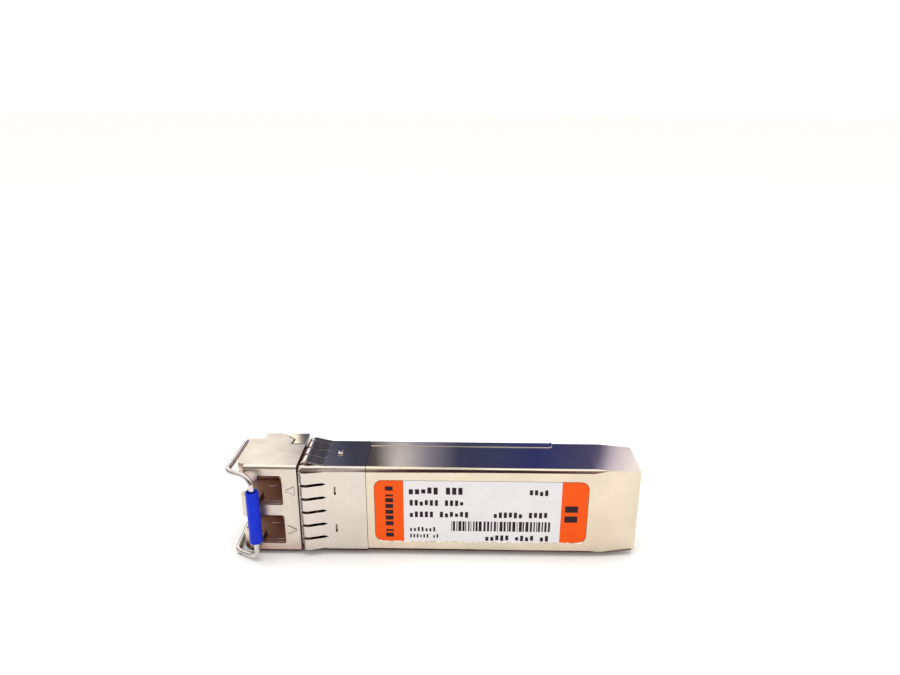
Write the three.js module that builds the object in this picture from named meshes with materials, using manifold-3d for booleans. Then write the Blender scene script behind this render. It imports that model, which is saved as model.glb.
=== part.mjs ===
// Pluggable optical transceiver module: two fibre ports, a wire bail that works a rocking latch,
// and a circuit board whose bare end is the electrical plug.
//
// Millimetres. The module lies on one narrow side. X runs along its length, from the fibre ports (-X)
// to the board's edge (+X). Y runs through its height, from the label face (-Y) to the latch face (+Y).
// Z is up, across its width. All places below are measured from the seam between the spring collar and
// the cover (x), from the plane of the label face (y) and from the module's middle plane (z), and the
// whole is stood on its lowest point at the end.

import * as THREE from "three";
import { mergeVertices } from "three/addons/utils/BufferGeometryUtils.js";
import Module from "manifold-3d";

// ---- Driving dimensions ----

const GAP = 0.05; // between pieces that touch
const CORNER_STEPS = 8; // facets in each rounded corner of an outline

// Places along the length
const NOSE_FRONT = -18.0;
const LIP_FRONT = -16.8;
const BULGE_FRONT = -16.0;
const STOP = -9.5; // shoulder that rests against the cage
const NECK_END = -5.8;
const SEAM = 0.0;
const REAR = 38.0;
const TAPER_START = 31.2;
const LATCH_TAPER_START = 29.6;
const LATCH_SHOULDER = STOP + 2.5;
const FLOOR_END = LATCH_SHOULDER + 34.6; // the latch face is open behind this
const BOARD_END = LATCH_SHOULDER + 41.8;
const SIDE_STEP = 26.4; // the cover reaches the latch face behind this

// Half widths and heights of the shells
const NOSE_HALF = 6.85;
const COLLAR_HALF = 6.75;
const COVER_HALF = 6.7;
const NOSE_HEIGHT = 10.2;
const LIP_STEP = 0.8; // how far the lip is set back from the label face
const LIP_HEIGHT = 8.2;
const COLLAR_HEIGHT = 8.6;
const COVER_TOP = 0.1;
const COVER_HEIGHT = 8.5;
const COVER_SHEET = 0.3;
const COVER_CORNER = 0.75;
const COLLAR_CORNER = 0.7;
const COLLAR_SHEET = 0.2;
const SIDE_WALL_EDGE = 6.65; // depth at which the cover's side walls end

// Taper of the rear end: how far each face has come in at the end
const TAPER_LABEL = 0.68;
const TAPER_SIDE = 0.39;
const TAPER_LATCH = 0.7;

// Fibre ports
const PORT_PITCH = 6.25;
const PORT_HALF = 2.3;
const PORT_NEAR = 2.3;
const PORT_FAR = 6.9;
const PORT_AXIS = (PORT_NEAR + PORT_FAR) / 2;
const PORT_END = -8.9;
const WINDOW_FRONT = -15.0;
const WINDOW_REAR = -11.6;
const WINDOW_CORNER = 0.3;
const CATCH_SLOT_HALF = 1.45;
const THROAT_RADIUS = 1.6; // where a receptacle comes through the port's end wall
const ARROW_REAR = STOP - 0.45;
const ARROW_FRONT = STOP - 1.7;
const ARROW_HALF = 0.65;
const ARROW_RISE = 0.1;

// Tub that holds the board
const TUB_HALF = 5.6;
const TUB_WALL_HALF = COVER_HALF - COVER_SHEET - GAP;
const TUB_FLOOR = 7.7;
const TUB_START = -8.2;
const BARREL_FLOOR = 6.7;
const CAN_FLOOR_START = -3.6;

// Latch
const LEVER_PIVOT = [-12.3, 9.0];
const LEVER_HALF = 2.8;
const LEVER_TAB_HALF = 4.2;
const LEVER_CHANNEL_HALF = 3.15;
const LEVER_CHANNEL_FLOOR = 7.05;
const LEVER_CHANNEL_START = STOP - 0.5; // clears the lever's lower corner with the latch pressed in
const LEVER_CHANNEL_END = -3.7;
const BOSS_HALF = 1.3;
const BOSS_HEIGHT = 0.45;
const PIN_RADIUS = 0.4;

// Bail
const BAIL_PIVOT = [-14.8, 9.2];
const WIRE_RADIUS = 0.4;
const ARM_OFFSET = 6.05;
const UPPER_ARM_CORNER = 6.0;
const LOWER_ARM_CORNER = 6.85; // this arm is sprung outward and rests on the surface
const CROSSBAR = [-15.3, -1.75];
const UPPER_ARM_BEND = -19.15;
const LOWER_ARM_BEND = -18.85;
const CAM_OFFSET = 0.22;
const SLEEVE_RADIUS = 0.87;
const SLEEVE_LENGTH = 8.0;

// Label
const LABEL_START = 1.16;
const LABEL_END = 30.85;
const LABEL_HALF = 4.85;
const LABEL_CORNER = 1.2;
const LABEL_THICKNESS = 0.1;
const LABEL_RECESS = 0.02; // how far its underside is let into the cover

// Board
const BOARD_NEAR = 5.25;
const BOARD_FAR = 6.25;
const BOARD_START = 2.6;
const BOARD_HALF = 5.45;
const BOARD_PLUG_HALF = 4.6;
const BOARD_PLUG_START = 27.0;

// Spring fingers
const FINGER_PITCH = 2.1;
const FINGER_SLOT = 0.43;
const FINGER_BASE = -5.95;
const SLOT_POINT = 0.5; // how far the pointed end of each slot runs into the band
const FIRST_SIDE_FINGER = 1.9; // height of its middle on a narrow side
const NARROW_FINGER = 0.95;
const LABEL_BOW = 0.6; // how far the fingers stand out from the label face
const SIDE_BOW = 0.5;
const FINGER_STEPS = 12; // facets along a finger's bow

// ---- Finishes ----

function finish(color, roughness, metalness) {
  return new THREE.MeshStandardMaterial({ color, roughness, metalness });
}

const nickelCasting = () => finish(0xcfc3b2, 0.42, 1);
const brightSteel = () => finish(0xc9c3bb, 0.18, 1);
const goldPlate = () => finish(0xd2a54a, 0.3, 1);
const blackPackage = () => finish(0x17181a, 0.55, 0);

// ---- Shape helpers ----

const wasm = await Module();
wasm.setup();

// A closed three.js geometry as a solid that can be joined and cut.
function solid(geometry) {
  const bare = geometry.index ? geometry.toNonIndexed() : geometry.clone();
  bare.deleteAttribute("normal");
  bare.deleteAttribute("uv");
  const merged = mergeVertices(bare, 1e-4);
  return new wasm.Manifold(
    new wasm.Mesh({
      numProp: 3,
      vertProperties: merged.attributes.position.array,
      triVerts: new Uint32Array(merged.index.array),
    }),
  );
}

function geometryOf(manifold) {
  const { vertProperties, triVerts } = manifold.getMesh();
  const geometry = new THREE.BufferGeometry();
  geometry.setAttribute("position", new THREE.BufferAttribute(new Float32Array(vertProperties), 3));
  geometry.setIndex(new THREE.BufferAttribute(new Uint32Array(triVerts), 1));
  return geometry;
}

function join(solids) {
  return solids.reduce((whole, next) => whole.add(next));
}

function cut(whole, cutters) {
  return cutters.reduce((rest, cutter) => rest.subtract(cutter), whole);
}

const module = new THREE.Group();

function addPiece(name, shape, material) {
  const geometry = shape.isBufferGeometry ? shape : geometryOf(shape);
  geometry.computeVertexNormals();
  const mesh = new THREE.Mesh(geometry, material);
  mesh.name = name;
  module.add(mesh);
}

function polygon(points) {
  return new THREE.Shape(points.map(([a, b]) => new THREE.Vector2(a, b)));
}

// Rectangle with round corners between two opposite corners.
function roundedRect(a0, b0, a1, b1, radius) {
  const shape = new THREE.Shape();
  shape.absarc(a1 - radius, b1 - radius, radius, 0, Math.PI / 2);
  shape.absarc(a0 + radius, b1 - radius, radius, Math.PI / 2, Math.PI);
  shape.absarc(a0 + radius, b0 + radius, radius, Math.PI, 1.5 * Math.PI);
  shape.absarc(a1 - radius, b0 + radius, radius, 1.5 * Math.PI, 2 * Math.PI);
  shape.closePath();
  return shape;
}

// An outline in (x, y), thick from z0 to z1.
function plateZ(shape, z0, z1, curveSegments = CORNER_STEPS) {
  const geometry = new THREE.ExtrudeGeometry(shape, { depth: z1 - z0, bevelEnabled: false, curveSegments });
  return geometry.translate(0, 0, z0);
}

// An outline in (x, z), thick from y0 to y1.
function plateY(shape, y0, y1, curveSegments = CORNER_STEPS) {
  return plateZ(shape, -y1, -y0, curveSegments).rotateX(Math.PI / 2);
}

// An outline in (z, y), thick from x0 to x1. It is mirrored in z, so the outline has to be symmetric.
function plateX(shape, x0, x1, curveSegments = CORNER_STEPS) {
  return plateZ(shape, x0, x1, curveSegments).rotateY(Math.PI / 2);
}

function box(x0, x1, y0, y1, z0, z1) {
  const geometry = new THREE.BoxGeometry(x1 - x0, y1 - y0, z1 - z0);
  return geometry.translate((x0 + x1) / 2, (y0 + y1) / 2, (z0 + z1) / 2);
}

// Round bar across the width.
function rodZ([x, y], radius, z0, z1, sides = 16) {
  const geometry = new THREE.CylinderGeometry(radius, radius, z1 - z0, sides);
  return geometry.rotateX(Math.PI / 2).translate(x, y, (z0 + z1) / 2);
}

// A profile of [x, radius] points, turned about a port's axis.
function turned(profile, z, sides = 20) {
  const points = profile.map(([x, radius]) => new THREE.Vector2(radius, x));
  return new THREE.LatheGeometry(points, sides).rotateZ(-Math.PI / 2).translate(0, PORT_AXIS, z);
}

// A strip of sheet that follows [x, y] points, as an outline.
function stripOutline(points, thickness) {
  const normals = points.map((_, i) => {
    const [ax, ay] = points[Math.max(i - 1, 0)];
    const [bx, by] = points[Math.min(i + 1, points.length - 1)];
    const length = Math.hypot(bx - ax, by - ay);
    return [-(by - ay) / length, (bx - ax) / length];
  });
  const far = points.map(([x, y], i) => [x + normals[i][0] * thickness, y + normals[i][1] * thickness]);
  return polygon([...points, ...far.reverse()]);
}

const ports = [
  { side: "tx", z: PORT_PITCH / 2 },
  { side: "rx", z: -PORT_PITCH / 2 },
];

// ---- Casting: nose block and tub in one piece ----

function noseBlock() {
  const outline = new THREE.Shape();
  outline.moveTo(STOP, 0);
  outline.lineTo(LIP_FRONT, 0);
  outline.lineTo(LIP_FRONT, LIP_STEP);
  outline.quadraticCurveTo(NOSE_FRONT, LIP_STEP, NOSE_FRONT, LIP_STEP + 1.2);
  outline.lineTo(NOSE_FRONT, LIP_HEIGHT);
  outline.lineTo(BULGE_FRONT, LIP_HEIGHT);
  outline.lineTo(BULGE_FRONT, NOSE_HEIGHT);
  outline.lineTo(STOP, NOSE_HEIGHT);
  return solid(plateZ(outline, -NOSE_HALF, NOSE_HALF));
}

// Raised arrows beside the ports: light leaves at one and arrives at the other.
function portArrow(z, pointsOut) {
  const [tip, blunt] = pointsOut ? [ARROW_FRONT, ARROW_REAR] : [ARROW_REAR, ARROW_FRONT];
  const outline = polygon([
    [tip, z],
    [blunt, z + ARROW_HALF],
    [blunt, z - ARROW_HALF],
  ]);
  return solid(plateY(outline, -ARROW_RISE, 0.3));
}

function portCutters(z) {
  const low = z - PORT_HALF;
  const high = z + PORT_HALF;
  const window = roundedRect(WINDOW_FRONT, low, WINDOW_REAR, high, WINDOW_CORNER);
  const slot = [z - CATCH_SLOT_HALF, z + CATCH_SLOT_HALF];
  const throat = [
    [PORT_END - 1, 0],
    [PORT_END - 1, THROAT_RADIUS],
    [TUB_START + 1, THROAT_RADIUS],
    [TUB_START + 1, 0],
  ];
  return [
    solid(box(NOSE_FRONT - 1, PORT_END, PORT_NEAR, PORT_FAR, low, high)),
    solid(plateY(window, -1, PORT_NEAR + 0.1)),
    solid(box(NOSE_FRONT - 1, WINDOW_FRONT + 0.4, -1, PORT_NEAR + 0.1, ...slot)),
    solid(turned(throat, z)),
  ];
}

// Room in the nose for the latch lever, the bail's arms and their bearings.
function latchCutters() {
  const channel = [-LEVER_CHANNEL_HALF, LEVER_CHANNEL_HALF];
  const cutters = [
    solid(box(BULGE_FRONT - 1, -13.2, 7.6, 11, -4.6, 4.6)),
    solid(box(-14, STOP + 1, 7.6, 11, ...channel)),
    solid(box(LEVER_CHANNEL_START, LEVER_CHANNEL_END, LEVER_CHANNEL_FLOOR, 11, ...channel)),
    solid(rodZ(BAIL_PIVOT, WIRE_RADIUS + GAP, -5.6, 5.6)),
    solid(rodZ(LEVER_PIVOT, PIN_RADIUS + GAP, -4.35, 4.35)),
    solid(box(-13.45, STOP + 1, NOSE_HEIGHT - 0.3, 11, -8, 8)),
  ];
  for (const side of [-1, 1]) {
    const slot = [side * 5.55, side * 6.5].sort((a, b) => a - b);
    cutters.push(solid(box(BULGE_FRONT - 1, -14.2, 8.6, 11, ...slot)));
    const recess = [side * 6.57, side * 8].sort((a, b) => a - b);
    cutters.push(solid(plateZ(earOutline(0.04), ...recess)));
  }
  return cutters;
}

// Side view of the strip that the cover leaves open along the latch face, less a gap all round.
function openStrip(gap) {
  const outline = new THREE.Shape();
  const edge = SIDE_WALL_EDGE + gap;
  const end = SIDE_STEP - gap;
  outline.moveTo(NECK_END - 1, edge);
  outline.lineTo(end - 0.6, edge);
  outline.quadraticCurveTo(end, edge, end, edge + 0.6);
  outline.lineTo(end, 10);
  outline.lineTo(NECK_END - 1, 10);
  return outline;
}

function tubSolids() {
  const neck = roundedRect(-6.0, 0.75, 6.0, 8.0, 0.4);
  const underCollar = roundedRect(-6.1, 0.65, 6.1, 8.0, 0.4);
  const underCollarBase = roundedRect(-6.4, SIDE_WALL_EDGE + GAP, 6.4, 8.3, 0.4);
  const walls = roundedRect(-TUB_WALL_HALF, 0.5, TUB_WALL_HALF, SIDE_WALL_EDGE + 1, 0.5);
  const base = roundedRect(-COVER_HALF, 5, COVER_HALF, COVER_HEIGHT, 0.5);
  const baseEnd = roundedRect(-6.3, 7, 6.3, COVER_HEIGHT - COVER_SHEET - GAP, 0.45);
  return [
    solid(plateX(neck, STOP - 0.3, NECK_END)),
    solid(plateX(underCollar, NECK_END - 0.5, SEAM + 0.6)),
    solid(plateX(underCollarBase, NECK_END, SEAM + 0.5)),
    solid(plateX(walls, SEAM + 0.45, FLOOR_END + 4)),
    solid(plateX(base, SEAM + GAP, SIDE_STEP)).intersect(solid(plateZ(openStrip(GAP), -8, 8))),
    solid(plateX(baseEnd, SIDE_STEP - 1, FLOOR_END)),
  ];
}

function tubCutters() {
  const boardClearance = BOARD_HALF + 0.1;
  return [
    solid(box(TUB_START, CAN_FLOOR_START + 0.5, -1, BARREL_FLOOR, -TUB_HALF + 0.3, TUB_HALF - 0.3)),
    solid(box(CAN_FLOOR_START, BOARD_START, -1, TUB_FLOOR, -TUB_HALF, TUB_HALF)),
    solid(box(BOARD_START - 0.5, FLOOR_END + 5, -1, BOARD_FAR + GAP, -boardClearance, boardClearance)),
    solid(box(BOARD_START - 0.5, FLOOR_END + 5, BOARD_FAR, TUB_FLOOR, -4.9, 4.9)),
    solid(box(FLOOR_END, FLOOR_END + 5, BOARD_FAR, 9, -4.9, 4.9)),
  ];
}

function addHousing() {
  const nose = join([noseBlock(), portArrow(PORT_PITCH / 2, true), portArrow(-PORT_PITCH / 2, false)]);
  const whole = join([nose, ...tubSolids()]);
  const cutters = [...ports.flatMap(({ z }) => portCutters(z)), ...latchCutters(), ...tubCutters()];
  addPiece("housing", cut(whole, cutters), nickelCasting());
}

// ---- Cover: a folded sheet sleeve, open along the latch face ----

// The sleeve's outer solid, or with an inset the room inside it.
function sleeve(x0, inset) {
  const section = roundedRect(
    -COVER_HALF + inset,
    COVER_TOP + inset,
    COVER_HALF - inset,
    COVER_HEIGHT - inset,
    COVER_CORNER - inset,
  );
  const past = REAR + 2;
  const reach = (taper, start) => inset + (taper * (past - start)) / (REAR - start);
  const side = polygon([
    [x0, -1],
    [TAPER_START, -1],
    [TAPER_START, COVER_TOP + inset],
    [past, COVER_TOP + reach(TAPER_LABEL, TAPER_START)],
    [past, COVER_HEIGHT - reach(TAPER_LATCH, LATCH_TAPER_START)],
    [LATCH_TAPER_START, COVER_HEIGHT - inset],
    [LATCH_TAPER_START, 10],
    [x0, 10],
  ]);
  const plan = polygon([
    [x0, -8],
    [TAPER_START, -8],
    [TAPER_START, -COVER_HALF + inset],
    [past, -COVER_HALF + reach(TAPER_SIDE, TAPER_START)],
    [past, COVER_HALF - reach(TAPER_SIDE, TAPER_START)],
    [TAPER_START, COVER_HALF - inset],
    [TAPER_START, 8],
    [x0, 8],
  ]);
  return solid(plateX(section, x0, REAR + inset))
    .intersect(solid(plateZ(side, -8, 8)))
    .intersect(solid(plateY(plan, -2, 11)));
}

function frontTongue() {
  const section = (inset) => roundedRect(-6.45 + inset, 0.3 + inset, 6.45 - inset, 9, 0.4);
  const shell = solid(plateX(section(0), NECK_END + 0.1, SEAM + 0.4));
  return cut(shell, [solid(plateX(section(COVER_SHEET), NECK_END - 1, SEAM + 1))]);
}

function labelOutline(grow) {
  const half = LABEL_HALF + grow;
  return roundedRect(LABEL_START - grow, -half, LABEL_END + grow, half, LABEL_CORNER);
}

function addCover() {
  const shell = cut(sleeve(SEAM + GAP, 0), [sleeve(SEAM - 1, COVER_SHEET)]);
  const whole = cut(shell.add(frontTongue()), [
    solid(plateZ(openStrip(0), -8, 8)),
    solid(box(SIDE_STEP - 1, REAR + 1, 7, 10, -5.7, 5.7)),
    solid(plateY(labelOutline(0.06), -1, COVER_TOP + 0.1)),
  ]);
  addPiece("cover", whole, brightSteel());
}

function addLabel() {
  const back = COVER_TOP - LABEL_RECESS;
  addPiece("label", plateY(labelOutline(0), back, back + LABEL_THICKNESS, 6), finish(0xf2f2f0, 0.5, 0));
}

// ---- Spring collar ----

// One finger of the collar standing on a face whose outward direction is -Y, before it is turned.
function finger(width, height) {
  const bow = new THREE.SplineCurve([
    new THREE.Vector2(FINGER_BASE, 0),
    new THREE.Vector2(-7.0, -0.45),
    new THREE.Vector2(-8.0, -0.95),
    new THREE.Vector2(-8.5, -1),
    new THREE.Vector2(-8.95, -0.65),
    new THREE.Vector2(-9.2, 0.2),
  ]);
  const points = bow.getSpacedPoints(FINGER_STEPS);
  const rise = Math.max(...points.map(({ y }) => -y));
  const bowed = points.map(({ x, y }) => [x, (y * height) / rise]);
  const shape = stripOutline([[FINGER_BASE + 0.2, 0], ...bowed], -COLLAR_SHEET);
  return plateZ(shape, -width / 2, width / 2);
}

function collarFingers() {
  const wide = FINGER_PITCH - FINGER_SLOT;
  const fingers = [];
  for (let i = 0; i < 6; i += 1) {
    fingers.push(finger(wide, LABEL_BOW).translate(0, 0, (i - 2.5) * FINGER_PITCH));
  }
  for (const turn of [-1, 1]) {
    const sideFinger = (y, width) =>
      finger(width, SIDE_BOW)
        .rotateX((turn * Math.PI) / 2)
        .translate(0, y, turn * -COLLAR_HALF);
    const latchFinger = (z, width) =>
      finger(width, SIDE_BOW)
        .rotateX(Math.PI)
        .translate(0, COLLAR_HEIGHT, turn * z);
    for (let i = 0; i < 3; i += 1) {
      fingers.push(sideFinger(FIRST_SIDE_FINGER + i * FINGER_PITCH, wide));
    }
    fingers.push(sideFinger(7.7, NARROW_FINGER), latchFinger(5.25, wide), latchFinger(3.65, NARROW_FINGER));
  }
  return fingers.map(solid);
}

// Pointed ends of the slots between fingers, on the label face and both narrow sides.
function slotEnds() {
  const point = (across) =>
    polygon([
      [FINGER_BASE - 0.1, across - FINGER_SLOT / 2],
      [FINGER_BASE + SLOT_POINT, across],
      [FINGER_BASE - 0.1, across + FINGER_SLOT / 2],
    ]);
  const ends = [];
  for (let i = -2; i <= 2; i += 1) {
    ends.push(solid(plateY(point(i * FINGER_PITCH), -1, 1)));
  }
  for (let i = 0; i < 2; i += 1) {
    ends.push(solid(plateZ(point(FIRST_SIDE_FINGER + (i + 0.5) * FINGER_PITCH), -8, 8)));
  }
  return ends;
}

function addCollar() {
  const ring = (inset) => {
    const half = COLLAR_HALF - inset;
    return roundedRect(-half, inset, half, COLLAR_HEIGHT - inset, COLLAR_CORNER - inset);
  };
  const band = solid(plateX(ring(0), FINGER_BASE, SEAM));
  const hollow = solid(plateX(ring(COLLAR_SHEET), FINGER_BASE - 1, SEAM + 1));
  const slits = [3.2, -2.8].map((z) => solid(box(-4.45, -4.15, -1, 1, z - 0.65, z + 0.65)));
  const catchOutline = polygon([
    [-4.3, 4.2],
    [-3.7, 4.2],
    [-4.0, 4.8],
  ]);
  const whole = cut(cut(band, [hollow]), [
    solid(box(-7, -3.9, 7, 10, -3, 3)),
    solid(plateZ(catchOutline, -8, 8)),
    ...slits,
    ...slotEnds(),
  ]);
  addPiece("emi_collar", join([whole, ...collarFingers()]), brightSteel());
}

// ---- Latch ----

// Side ear of the retainer plate, seen on the narrow side.
function earOutline(grow) {
  return polygon([
    [STOP + 1, 6.95 - grow],
    [-11.45 - grow, 6.95 - grow],
    [-11.3 - grow, 8.2],
    [-12.6 - grow, 9.45],
    [-12.6 - grow, NOSE_HEIGHT + 1],
    [STOP + 1, NOSE_HEIGHT + 1],
  ]);
}

function addRetainer() {
  const base = NOSE_HEIGHT - 0.27;
  const face = NOSE_HEIGHT - 0.02;
  const ear = solid(plateZ(earOutline(0), -NOSE_HALF + 0.02, NOSE_HALF - 0.02));
  const room = solid(box(-20, STOP + 2, 0, base, -6.6, 6.6));
  const whole = cut(ear, [
    room,
    solid(box(STOP - GAP, STOP + 3, 0, 12, -8, 8)),
    solid(box(-20, 0, face, 13, -8, 8)),
    solid(plateY(roundedRect(-12.0, -1.1, -10.2, 1.1, 0.4), base - 1, face + 1)),
  ]);
  addPiece("latch_retainer", whole, brightSteel());
}

function bossOutline() {
  return polygon([
    [LATCH_SHOULDER, -BOSS_HALF],
    [LATCH_SHOULDER + 0.5, -BOSS_HALF],
    [LATCH_SHOULDER + 2.5, -0.45],
    [LATCH_SHOULDER + 2.5, 0.45],
    [LATCH_SHOULDER + 0.5, BOSS_HALF],
    [LATCH_SHOULDER, BOSS_HALF],
  ]);
}

function addLever() {
  const rearFace = 8.3;
  const arm = polygon([
    [-13.6, 9.45],
    [-13.1, 9.45],
    [-12.9, 8.2],
    [-10.2, 8.2],
    [-9.8, 7.8],
    [-4.5, 7.8],
    [-4.5, rearFace],
    [-9.4, rearFace],
    [-10.0, 8.8],
    [-11.4, 8.8],
    [-11.8, 9.85],
    [-13.6, 9.85],
  ]);
  const tab = roundedRect(-15.5, -LEVER_TAB_HALF, -13.4, LEVER_TAB_HALF, 0.3);
  const ramp = polygon([
    [LATCH_SHOULDER, rearFace - 0.2],
    [LATCH_SHOULDER, COVER_HEIGHT + BOSS_HEIGHT],
    [LATCH_SHOULDER + 0.4, COVER_HEIGHT + BOSS_HEIGHT],
    [LATCH_SHOULDER + 2.6, rearFace],
    [LATCH_SHOULDER + 2.6, rearFace - 0.2],
  ]);
  const boss = solid(plateZ(ramp, -2, 2)).intersect(solid(plateY(bossOutline(), 7, 10)));
  const whole = join([solid(plateZ(arm, -LEVER_HALF, LEVER_HALF)), solid(plateY(tab, 9.45, 9.85)), boss]);
  addPiece("latch_lever", cut(whole, [solid(rodZ(LEVER_PIVOT, PIN_RADIUS + GAP, -5, 5))]), nickelCasting());
}

function addLatchPin() {
  addPiece("latch_pivot_pin", rodZ(LEVER_PIVOT, PIN_RADIUS, -4.3, 4.3), brightSteel());
}

// Leaf spring that lies in the lever's channel and holds the latch boss out.
function addLatchSpring() {
  const leaf = stripOutline(
    [
      [-9.6, LEVER_CHANNEL_FLOOR + 0.02],
      [-8.0, LEVER_CHANNEL_FLOOR + 0.02],
      [-7.2, LEVER_CHANNEL_FLOOR + 0.08],
      [-5.6, 7.42],
      [-5.0, 7.5],
    ],
    0.15,
  );
  addPiece("latch_spring", plateZ(leaf, -1.2, 1.2), brightSteel());
}

// ---- Bail ----

// A path through points with each inner corner rounded.
function bentPath(points, radius) {
  const path = new THREE.CurvePath();
  let from = points[0];
  for (let i = 1; i < points.length - 1; i += 1) {
    const corner = points[i];
    const back = points[i - 1].clone().sub(corner);
    const ahead = points[i + 1].clone().sub(corner);
    const reach = Math.min(radius, back.length() * 0.48, ahead.length() * 0.48);
    const enter = corner.clone().add(back.setLength(reach));
    const leave = corner.clone().add(ahead.setLength(reach));
    path.add(new THREE.LineCurve3(from, enter));
    path.add(new THREE.QuadraticBezierCurve3(enter, corner, leave));
    from = leave;
  }
  path.add(new THREE.LineCurve3(from, points[points.length - 1]));
  return path;
}

// Bearing stub, run under the nose, arm up its front, and shoulder to the crossbar.
function bailHalf(side, cornerOffset, bend) {
  const [px, py] = BAIL_PIVOT;
  const [cx, cy] = CROSSBAR;
  return [
    [px, py, 4.3],
    [px, py, ARM_OFFSET],
    [-18.75, py, ARM_OFFSET],
    [bend, 0.3, cornerOffset],
    [-16.3, -1.05, cornerOffset - 0.05],
    [cx - 0.05, cy, cornerOffset - 0.65],
    [cx, cy, 4.4],
  ].map(([x, y, z]) => new THREE.Vector3(x, y, z * side));
}

function addBail() {
  const upper = bailHalf(1, UPPER_ARM_CORNER, UPPER_ARM_BEND);
  const lower = bailHalf(-1, LOWER_ARM_CORNER, LOWER_ARM_BEND);
  const path = bentPath([...upper, ...lower.reverse()], 0.8);
  const wireSection = new THREE.Shape();
  wireSection.absarc(0, 0, WIRE_RADIUS, 0, 2 * Math.PI);
  const wire = new THREE.ExtrudeGeometry(wireSection, { extrudePath: path, steps: 84, curveSegments: 5 });
  const camAxis = [BAIL_PIVOT[0], BAIL_PIVOT[1] - CAM_OFFSET];
  const cams = [-1, 1].map((side) => {
    const [z0, z1] = [side * 3.3, side * 4.52].sort((a, b) => a - b);
    return solid(rodZ(camAxis, WIRE_RADIUS, z0, z1));
  });
  addPiece("bail_wire", join([solid(wire), ...cams]), brightSteel());
}

function addBailSleeve() {
  const half = SLEEVE_LENGTH / 2;
  const bore = WIRE_RADIUS + 0.02;
  const skin = rodZ(CROSSBAR, SLEEVE_RADIUS, -half, half, 20);
  const whole = cut(solid(skin), [solid(rodZ(CROSSBAR, bore, -half - 1, half + 1, 16))]);
  addPiece("bail_sleeve", whole, finish(0x193cd7, 0.45, 0));
}

// ---- Optical sub-assemblies ----

function addOptics({ side, z }) {
  const receptacle = turned(
    [
      [-8.0, 0],
      [-8.0, 0.6],
      [-7.5, 0.6],
      [-7.5, 0.9],
      [-12.4, 0.9],
      [-12.4, 0.68],
      [-12.8, 0.68],
      [-12.8, 1.25],
      [-12.6, 1.45],
      [-7.9, 1.45],
      [-7.9, 2.0],
      [-7.3, 2.0],
      [-7.3, 1.5],
      [-6.7, 1.5],
      [-6.7, 2.0],
      [-3.7, 2.0],
      [-3.7, 0],
    ],
    z,
  );
  addPiece(`${side}_receptacle`, receptacle, brightSteel());
  addPiece(`${side}_split_sleeve`, splitSleeve(z), finish(0xf4f1e6, 0.3, 0));
  addPiece(`${side}_can`, headerCan(z), goldPlate());
  addPiece(`${side}_flex`, flexStrip(z), finish(0xb5711e, 0.45, 0));
}

// Ceramic sleeve with a slit along it, which centres the two ferrules.
function splitSleeve(z) {
  const ring = new THREE.Shape();
  const slit = 0.16;
  ring.absarc(0, 0, 0.84, slit, 2 * Math.PI - slit);
  ring.absarc(0, 0, 0.64, 2 * Math.PI - slit, slit, true);
  ring.closePath();
  return plateX(ring, -12.3, -7.6, 16).translate(0, PORT_AXIS, z);
}

// Round metal package of the laser or photodiode, with its four pins.
function headerCan(z) {
  const body = turned(
    [
      [-3.6, 0],
      [-3.6, 1.9],
      [-1.6, 1.9],
      [-1.6, 2.15],
      [-1.4, 2.15],
      [-1.4, 2.4],
      [-0.2, 2.4],
      [-0.2, 0],
    ],
    z,
  );
  const pins = [];
  for (let i = 0; i < 4; i += 1) {
    const angle = Math.PI / 4 + (i * Math.PI) / 2;
    const pin = new THREE.CylinderGeometry(0.22, 0.22, 0.9, 8).rotateZ(Math.PI / 2);
    pins.push(solid(pin.translate(0.15, PORT_AXIS + 0.9 * Math.cos(angle), z + 0.9 * Math.sin(angle))));
  }
  return join([solid(body), ...pins]);
}

// Flexible circuit that rises behind the can and lands on the board.
function flexStrip(z) {
  const strip = stripOutline(
    [
      [0.65, 3.2],
      [0.65, 5.9],
      [0.9, 6.3],
      [1.5, 6.1],
      [2.3, 5.3],
      [3.2, 5.05],
      [5.4, 5.05],
    ],
    -0.12,
  );
  return plateZ(strip, z - 1.9, z + 1.9);
}

function addFibreStub() {
  const z = ports[0].z;
  const stub = turned([[-8.9, 0], [-8.9, 0.5], [-8.7, 0.62], [-8.05, 0.62], [-8.05, 0]], z, 16);
  addPiece("tx_fibre_stub", stub, finish(0xf4f1e6, 0.25, 0));
}

// Plate that drops over both receptacles and holds their grooves.
function addOpticsClamp() {
  const plate = box(-7.25, -6.75, 1.2, BARREL_FLOOR - GAP, -5.2, 5.2);
  const throats = ports.flatMap(({ z }) => [
    solid(turned([[-8, 0], [-8, 1.55], [-6, 1.55], [-6, 0]], z)),
    solid(box(-8, -6, PORT_AXIS, 9, z - 1.55, z + 1.55)),
  ]);
  addPiece("optics_clamp", cut(solid(plate), throats), finish(0x2a2c2f, 0.5, 0));
}

// ---- Board ----

function addBoard() {
  const outline = polygon([
    [BOARD_START, -BOARD_HALF],
    [BOARD_PLUG_START, -BOARD_HALF],
    [BOARD_PLUG_START + 0.8, -BOARD_PLUG_HALF],
    [BOARD_END, -BOARD_PLUG_HALF],
    [BOARD_END, BOARD_PLUG_HALF],
    [BOARD_PLUG_START + 0.8, BOARD_PLUG_HALF],
    [BOARD_PLUG_START, BOARD_HALF],
    [BOARD_START, BOARD_HALF],
  ]);
  addPiece("circuit_board", plateY(outline, BOARD_NEAR, BOARD_FAR), finish(0x14532d, 0.45, 0));
}

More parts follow.
